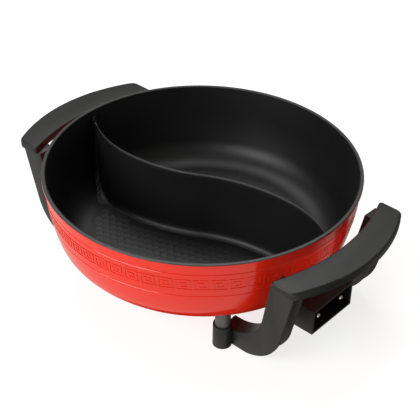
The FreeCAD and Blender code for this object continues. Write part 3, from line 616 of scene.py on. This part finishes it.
def fret_unit(pot, band):
    """One raised fret as a closed relief, already bent to the wall."""
    top = pot.rim_height - band.top_drop
    base = pot.rim_height - band.base_drop
    outer = outside_line(pot)
    wide = 2 * math.pi / band.count / len(FRET[0])
    tall = (top - base) / len(FRET)
    points, faces, seen = [], [], {}

    def point(column, row, lift):
        key = (column, row, lift)
        if key not in seen:
            seen[key] = len(points)
            height = top - row * tall
            radius = float(radius_at(outer, height)) + (band.relief if lift else -0.0002)
            angle = (column - len(FRET[0]) / 2) * wide
            points.append((radius * math.cos(angle), radius * math.sin(angle), height))
        return seen[key]

    def filled(column, row):
        if not 0 <= row < len(FRET):
            return False
        return 0 <= column < len(FRET[0]) and FRET[row][column] == "#"

    for row in range(len(FRET)):
        for column in range(len(FRET[0])):
            if not filled(column, row):
                continue
            corners = [(column, row), (column, row + 1), (column + 1, row + 1), (column + 1, row)]
            faces.append([point(a, b, 1) for a, b in corners])
            faces.append([point(a, b, 0) for a, b in corners[::-1]])
            sides = ((-1, 0, 0, 1), (0, 1, 1, 2), (1, 0, 2, 3), (0, -1, 3, 0))
            for step_x, step_y, first, last in sides:
                if not filled(column + step_x, row + step_y):
                    a, b = corners[first], corners[last]
                    faces.append([point(*a, 0), point(*b, 0), point(*b, 1), point(*a, 1)])
    mesh = bpy.data.meshes.new("fret_unit")
    mesh.from_pydata(points, [], faces)
    unit = bpy.data.objects.new("fret_unit", mesh)
    bpy.context.scene.collection.objects.link(unit)
    return unit


class Growth:
    """A geometry tree that is built in the script and turned into a plain mesh."""

    def __init__(self, name, inputs):
        self.tree = bpy.data.node_groups.new(name, "GeometryNodeTree")
        self.names = {}
        for label, kind, value in inputs:
            socket = self.tree.interface.new_socket(label, in_out="INPUT", socket_type=kind)
            self.names[label] = (socket.identifier, value)
        self.tree.interface.new_socket("Geometry", in_out="OUTPUT", socket_type="NodeSocketGeometry")
        self.entry = self.tree.nodes.new("NodeGroupInput")
        self.exit = self.tree.nodes.new("NodeGroupOutput")

    def put(self, kind, links=None, output=0, **settings):
        node = self.tree.nodes.new(kind)
        for name, value in settings.items():
            setattr(node, name, value)
        for key, value in (links or {}).items():
            if isinstance(value, bpy.types.NodeSocket):
                self.tree.links.new(value, node.inputs[key])
            elif isinstance(value, str) and value in self.names:
                self.tree.links.new(self.entry.outputs[value], node.inputs[key])
            else:
                node.inputs[key].default_value = value
        return node.outputs[output]

    def close(self, geometry):
        whole = self.put("GeometryNodeRealizeInstances", {"Geometry": geometry})
        painted = self.put("GeometryNodeSetMaterial", {"Geometry": whole, "Material": "Finish"})
        self.tree.links.new(painted, self.exit.inputs[0])

    def grow(self, name, mesh=None):
        """Run the tree on an object and keep the plain mesh that it gives."""
        piece = bpy.data.objects.new(name, mesh or bpy.data.meshes.new(name))
        bpy.context.scene.collection.objects.link(piece)
        modifier = piece.modifiers.new("growth", "NODES")
        modifier.node_group = self.tree
        for identifier, value in self.names.values():
            if value is not None:
                modifier[identifier] = value
        ready = piece.evaluated_get(bpy.context.evaluated_depsgraph_get())
        grown = bpy.data.meshes.new_from_object(ready)
        piece.modifiers.clear()
        piece.data = grown
        grown.name = name
        grown.shade_flat()
        return piece


class HOTPOT_OT_band(bpy.types.Operator):
    """Set the raised fret round the pot, between its two lines"""

    bl_idname = "hotpot.band"
    bl_label = "Fret band"

    def execute(self, context):
        band = context.scene.hot_pot_band
        unit = fret_unit(context.scene.hot_pot_shape, band)
        growth = Growth("fret_ring", (
            ("Unit", "NodeSocketObject", unit),
            ("Count", "NodeSocketInt", band.count),
            ("Step", "NodeSocketFloat", 2 * math.pi / band.count),
            ("Finish", "NodeSocketMaterial", made("red_enamel")),
        ))
        spots = growth.put("GeometryNodeMeshLine", {"Count": "Count", "Offset": (0, 0, 0)})
        shape = growth.put("GeometryNodeObjectInfo", {"Object": "Unit"}, output=4)
        index = growth.put("GeometryNodeInputIndex")
        angle = growth.put("ShaderNodeMath", {0: index, 1: "Step"}, operation="MULTIPLY")
        turn = growth.put("ShaderNodeCombineXYZ", {"Z": angle})
        spin = growth.put("FunctionNodeEulerToRotation", {"Euler": turn})
        growth.close(growth.put(
            "GeometryNodeInstanceOnPoints", {"Points": spots, "Instance": shape, "Rotation": spin}
        ))
        piece = growth.grow("fret_band")
        bpy.data.objects.remove(unit)
        settle(piece, "pot", "pot_casting")
        return {"FINISHED"}


# The floor's scales: field, room left beside the divider, turn of the rows, tilt of each scale
FIELD_RADIUS = 0.1125
DIVIDER_ROOM = 0.0175
ROW_TURN = math.radians(20.0)
SCALE_LEAN = math.radians(3.2)


class HOTPOT_OT_scales(bpy.types.Operator):
    """Cover the cooking floor with its small raised scales"""

    bl_idname = "hotpot.scales"
    bl_label = "Floor scales"

    def execute(self, context):
        pot = context.scene.hot_pot_shape
        band = context.scene.hot_pot_band
        path = np.array([station[:2] for station in divider_path(context.scene.hot_pot_divider)])
        pitch = band.scale_pitch
        spots = []
        rows = int(0.114 / (pitch * 0.9)) + 1
        for row in range(-rows, rows + 1):
            for column in range(-rows, rows + 1):
                along, across = (column + 0.5 * (row % 2)) * pitch, row * pitch * 0.93
                x = along * math.cos(ROW_TURN) - across * math.sin(ROW_TURN)
                y = along * math.sin(ROW_TURN) + across * math.cos(ROW_TURN)
                if math.hypot(x, y) > FIELD_RADIUS:
                    continue
                if np.min(np.hypot(path[:, 0] - x, path[:, 1] - y)) < DIVIDER_ROOM:
                    continue
                spots.append((x, y, pot.floor_height - 0.0001))
        mesh = bpy.data.meshes.new("scale_spots")
        mesh.from_pydata(spots, [], [])
        growth = Growth("scale_field", (
            ("Spots", "NodeSocketGeometry", None),
            ("Size", "NodeSocketFloat", pitch * 0.53),
            ("Crown", "NodeSocketFloat", pitch * 0.49),
            ("Lean", "NodeSocketVector", (SCALE_LEAN, 0.0, ROW_TURN)),
            ("Relief", "NodeSocketFloat", band.scale_relief + 0.0001),
            ("Finish", "NodeSocketMaterial", made("non_stick_lining")),
        ))
        scale = growth.put("GeometryNodeMeshCone", {
            "Vertices": 14, "Radius Top": "Crown", "Radius Bottom": "Size", "Depth": "Relief",
        })
        lean = growth.put("FunctionNodeEulerToRotation", {"Euler": "Lean"})
        growth.close(growth.put(
            "GeometryNodeInstanceOnPoints", {"Points": "Spots", "Instance": scale, "Rotation": lean}
        ))
        piece = growth.grow("floor_scales", mesh)
        settle(piece, "pot", "pot_casting")
        return {"FINISHED"}


def copied(node, name, keep=None):
    """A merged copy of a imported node's mesh, without the flat faces' inner edges."""
    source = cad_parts[node]
    work = bmesh.new()
    work.from_mesh(source.data)
    bmesh.ops.remove_doubles(work, verts=work.verts, dist=2e-6)
    if keep is not None:
        drop = [face for face in work.faces if not keep(face.calc_center_median())]
        bmesh.ops.delete(work, geom=drop, context="FACES")
    bmesh.ops.dissolve_limit(work, angle_limit=math.radians(0.4), verts=work.verts, edges=work.edges)
    mesh = bpy.data.meshes.new(name)
    work.to_mesh(mesh)
    work.free()
    piece = bpy.data.objects.new(name, mesh)
    bpy.context.scene.collection.objects.link(piece)
    return piece


def softened(piece, width, angle=32.0, segments=2):
    """Break the sharp edges of a piece, and keep the result as its mesh."""
    if width:
        bevel = piece.modifiers.new("edge", "BEVEL")
        bevel.width = width
        bevel.segments = segments
        bevel.limit_method = "ANGLE"
        bevel.angle_limit = math.radians(angle)
        bevel.use_clamp_overlap = True
        ready = piece.evaluated_get(bpy.context.evaluated_depsgraph_get())
        mesh = bpy.data.meshes.new_from_object(ready)
        piece.modifiers.clear()
        piece.data = mesh
    piece.data.shade_smooth()
    piece.data.set_sharp_from_angle(angle=math.radians(30))
    return piece


def dressed(piece, finish):
    """Give a piece one finish all over."""
    piece.data.materials.clear()
    piece.data.materials.append(made(finish))
    return piece


class HOTPOT_OT_fittings(bpy.types.Operator):
    """Add the cast feet and the element ridge under the pot"""

    bl_idname = "hotpot.fittings"
    bl_label = "Cast fittings"

    def execute(self, context):
        shape = context.scene.hot_pot_shape
        outer = outside_line(shape)

        def under(spot):
            radius = math.hypot(spot.x, spot.y)
            if spot.z < shape.base_height - 0.00005:
                return True
            return spot.z < 0.046 and radius > float(radius_at(outer, spot.z)) + 0.0003

        piece = copied("pot_casting", "cast_fittings", under)
        dressed(softened(piece, 0.0), "bare_casting")
        settle(piece, "pot", "pot_casting")
        return {"FINISHED"}


class HOTPOT_OT_handles(bpy.types.Operator):
    """Finish both moulded handles and the covers of their grips"""

    bl_idname = "hotpot.handles"
    bl_label = "Handles"

    def execute(self, context):
        for side in ("socket_side", "plain_side"):
            for node, width in (("handle_" + side, 0.0005), ("grip_cover_" + side, 0.0003)):
                piece = softened(copied(node, node + "_finished"), width)
                dressed(piece, "moulded_plastic")
                settle(piece, "plastic", node)
        return {"FINISHED"}


class HOTPOT_OT_socket(bpy.types.Operator):
    """Finish the socket box under one grip"""

    bl_idname = "hotpot.socket"
    bl_label = "Socket"

    def execute(self, context):
        piece = softened(copied("socket_shroud", "socket_shroud_finished"), 0.0006)
        dressed(piece, "moulded_plastic")
        settle(piece, "plastic", "socket_shroud")
        return {"FINISHED"}


NODE_FINISHES = {
    "heating_element": "sheath", "terminal_plate": "plate_steel", "shroud_clamp": "plate_steel",
    "insulator": "glazed_ceramic", "terminal_pin": "pin_nickel", "clamp_screws": "zinc_screw",
    "cover_screws": "zinc_screw", "leg_screws": "zinc_screw", "washers": "plate_steel",
    "gaskets": "heat_gasket", "handle": "moulded_plastic", "grip_cover": "moulded_plastic",
    "socket_shroud": "moulded_plastic", "pot_casting": "red_enamel",
    "terminal_block": "bare_casting",
}


class HOTPOT_OT_hardware(bpy.types.Operator):
    """Give the element, pins, plates, screws and gaskets their finishes"""

    bl_idname = "hotpot.hardware"
    bl_label = "Hardware"

    def execute(self, context):
        for name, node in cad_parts.items():
            finish = [NODE_FINISHES[key] for key in NODE_FINISHES if name.startswith(key)][0]
            for slot in node.material_slots:
                slot.material = made(finish)
        return {"FINISHED"}


# Strength of the light from below, where the enamel mirrors the table, and from above
TABLE_GLOW = 0.70
ROOM_GLOW = 0.24


def studio_light(tree):
    """Soft light from above, a bright table in front and on the left, and a dark one on the right."""
    spot = tree.nodes.new("ShaderNodeTexCoord")
    parts = tree.nodes.new("ShaderNodeSeparateXYZ")
    tree.links.new(spot.outputs["Generated"], parts.inputs[0])

    def maths(operation, first, second):
        node = tree.nodes.new("ShaderNodeMath")
        node.operation = operation
        node.use_clamp = operation == "MULTIPLY_ADD"
        for place, value in enumerate((first, second)):
            if isinstance(value, bpy.types.NodeSocket):
                tree.links.new(value, node.inputs[place])
            else:
                node.inputs[place].default_value = value
        return node

    def edge(source, steep, start):
        node = maths("MULTIPLY_ADD", source, steep)
        node.inputs[2].default_value = start
        return node.outputs[0]

    x, y, z = parts.outputs
    front = edge(y, -16.0, 0.5)
    left = edge(x, -6.0, -2.4)
    back = edge(y, 8.0, -4.2)
    lit = maths("MAXIMUM", maths("MAXIMUM", front, left).outputs[0],
                 maths("MULTIPLY", back, 0.5).outputs[0]).outputs[0]
    above = edge(z, 12.0, 0.5)
    table = maths("MULTIPLY", lit, TABLE_GLOW).outputs[0]
    mix = tree.nodes.new("ShaderNodeMix")
    mix.data_type = "FLOAT"
    tree.links.new(above, mix.inputs[0])
    tree.links.new(table, mix.inputs[2])
    mix.inputs[3].default_value = ROOM_GLOW
    background = tree.nodes["Background"]
    background.inputs["Color"].default_value = (1.0, 0.97, 0.90, 1)
    tree.links.new(mix.outputs[0], background.inputs["Strength"])


# The camera: turns in degrees, focal length in widths of the picture, sensor width, and its
# place in rim radii back, right and up from the middle of the rim
SWING, TILT, ROLL = 41.1681, 36.0857, 1.3085
FOCAL = 1079.16 / 420
SENSOR = 36.0
REACH = (6.7214, 0.0506, -0.2818)
# Height of the pale floor and half its side
FLOOR_LEVEL = -0.0004
FLOOR_HALF = 3
# Each lamp: name, place, what it points at, size and power
LAMPS = (
    ("key", (-0.25, -1.45, 0.95), (0, 0, 0.06), (1.2, 0.8), 22.0),
    ("top", (-0.55, 0.45, 1.5), (0, 0, 0.05), (1.1, 0.9), 14.0),
)


class HOTPOT_OT_stage(bpy.types.Operator):
    """Set the camera, the pale floor and the studio light"""

    bl_idname = "hotpot.stage"
    bl_label = "Stage"

    def execute(self, context):
        scene = context.scene
        swing, tilt, roll = (math.radians(angle) for angle in (SWING, TILT, ROLL))
        back = Vector((
            math.sin(swing) * math.cos(tilt), -math.cos(swing) * math.cos(tilt), math.sin(tilt)
        ))
        right = Vector((math.cos(swing), math.sin(swing), 0))
        up = back.cross(right)
        across = math.cos(roll) * right + math.sin(roll) * up
        upward = math.cos(roll) * up - math.sin(roll) * right
        shape = scene.hot_pot_shape
        reach = REACH[0] * back + REACH[1] * right + REACH[2] * up
        place = Vector((0, 0, shape.rim_height)) + shape.rim_radius * reach
        lens = bpy.data.cameras.new("camera")
        lens.sensor_width = SENSOR
        lens.lens = FOCAL * SENSOR
        lens.clip_start = 0.01
        eye = bpy.data.objects.new("camera", lens)
        scene.collection.objects.link(eye)
        matrix = eye.matrix_world.to_3x3()
        matrix.col[0], matrix.col[1], matrix.col[2] = across, upward, back
        eye.matrix_world = matrix.to_4x4()
        eye.location = place
        scene.camera = eye
        scene.view_settings.view_transform = "Standard"
        world = bpy.data.worlds.new("studio")
        world.use_nodes = True
        studio_light(world.node_tree)
        scene.world = world
        sheet = bpy.data.meshes.new("floor")
        corners = [(FLOOR_HALF * x, FLOOR_HALF * y, FLOOR_LEVEL) for x, y in
                   ((-1, -1), (1, -1), (1, 1), (-1, 1))]
        sheet.from_pydata(corners, [], [(0, 1, 2, 3)])
        paper = Finish("paper", Roughness=0.9, Specular_IOR_Level=0.0, Emission_Strength=0.78,
                       Emission_Color=(1, 1, 1, 1))
        fibre = paper.noise(300.0, 2.0)
        paper.set(Base_Color=paper.tone((0.36, 0.36, 0.36), (0.38, 0.38, 0.38), fibre))
        sheet.materials.append(paper.material)
        floor = bpy.data.objects.new("floor", sheet)
        scene.collection.objects.link(floor)
        floor.visible_glossy = False
        for name, spot, target, size, power in LAMPS:
            lamp = bpy.data.lights.new(name, "AREA")
            lamp.shape = "RECTANGLE"
            lamp.size, lamp.size_y = size
            lamp.energy = power
            light = bpy.data.objects.new(name, lamp)
            light.location = spot
            light.rotation_euler = (Vector(target) - Vector(spot)).to_track_quat("-Z", "Y").to_euler()
            scene.collection.objects.link(light)
        return {"FINISHED"}


class HOTPOT_PT_panel(bpy.types.Panel):
    """Sidebar panel that lists the pieces"""

    bl_label = "Hot pot"
    bl_idname = "HOTPOT_PT_panel"
    bl_space_type = "VIEW_3D"
    bl_region_type = "UI"
    bl_category = "Hot pot"

    def draw(self, context):
        layout = self.layout
        for group, _ in GROUPS:
            box = layout.box()
            owner = getattr(context.scene, group)
            for name in owner.__annotations__:
                box.prop(owner, name)
        for operator in OPERATORS:
            layout.operator(operator.bl_idname)


GROUPS = (
    ("hot_pot_shape", PotShape),
    ("hot_pot_divider", DividerShape),
    ("hot_pot_band", BandShape),
    ("hot_pot_finishes", Finishes),
)
OPERATORS = (
    HOTPOT_OT_stage, HOTPOT_OT_hardware, HOTPOT_OT_shell, HOTPOT_OT_divider, HOTPOT_OT_band,
    HOTPOT_OT_scales, HOTPOT_OT_fittings, HOTPOT_OT_handles, HOTPOT_OT_socket,
)


def register():
    for name, kind in GROUPS:
        bpy.utils.register_class(kind)
        setattr(bpy.types.Scene, name, PointerProperty(type=kind))
    for kind in OPERATORS + (HOTPOT_PT_panel,):
        bpy.utils.register_class(kind)


def unregister():
    for kind in reversed(OPERATORS + (HOTPOT_PT_panel,)):
        bpy.utils.unregister_class(kind)
    for name, kind in reversed(GROUPS):
        delattr(bpy.types.Scene, name)
        bpy.utils.unregister_class(kind)


def main():
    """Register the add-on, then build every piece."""
    register()
    for operator in OPERATORS:
        group, name = operator.bl_idname.split(".")
        getattr(getattr(bpy.ops, group), name)()


if __name__ == "__main__":
    main()
